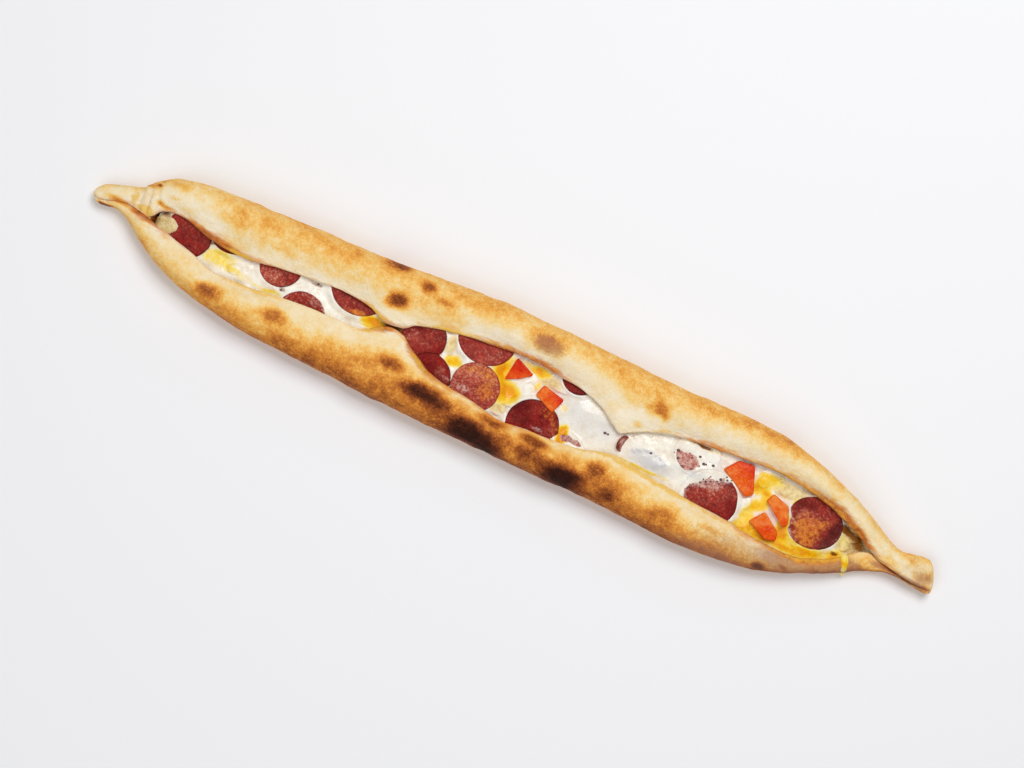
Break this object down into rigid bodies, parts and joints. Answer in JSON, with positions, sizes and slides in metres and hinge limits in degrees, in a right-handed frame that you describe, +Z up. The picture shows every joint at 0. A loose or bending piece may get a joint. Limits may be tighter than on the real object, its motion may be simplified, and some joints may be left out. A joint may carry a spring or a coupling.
{
  "type": "sucuk pide",
  "caption": "Long boat-shaped flatbread folded over melted cheese and egg, with round sausage slices and tomato pieces showing in three openings.",
  "frame": {"origin": "on the supporting surface, under the middle of the outline seen from above", "axes": "+X along the pide towards its flat paddle-shaped end, +Y towards the wider fold, +Z up"},
  "size_m": [0.53, 0.0844, 0.0254],
  "materials": {
    "baked_dough": "baked flatbread, dry and slightly glossy, golden with pale lips and dark scorched patches",
    "cheese_and_egg": "melted cheese with set egg white and yolk, moist and glossy",
    "sucuk": "baked cured sausage, oily, dark red with paler fat",
    "tomato": "baked tomato, wet and orange-red"
  },
  "bodies": {
    "root": {"dough": "baked_dough", "cheese_and_egg": "cheese_and_egg", "sucuk_01": "sucuk", "sucuk_02": "sucuk", "sucuk_03": "sucuk", "sucuk_04": "sucuk", "sucuk_05": "sucuk", "sucuk_06": "sucuk", "sucuk_07": "sucuk", "sucuk_08": "sucuk", "sucuk_09": "sucuk", "sucuk_10": "sucuk", "sucuk_11": "sucuk", "sucuk_12": "sucuk", "sucuk_13": "sucuk", "sucuk_14": "sucuk", "sucuk_15": "sucuk", "sucuk_16": "sucuk", "tomato_01": "tomato", "tomato_02": "tomato", "tomato_03": "tomato", "tomato_04": "tomato", "tomato_05": "tomato"}
  },
  "joints": []
}
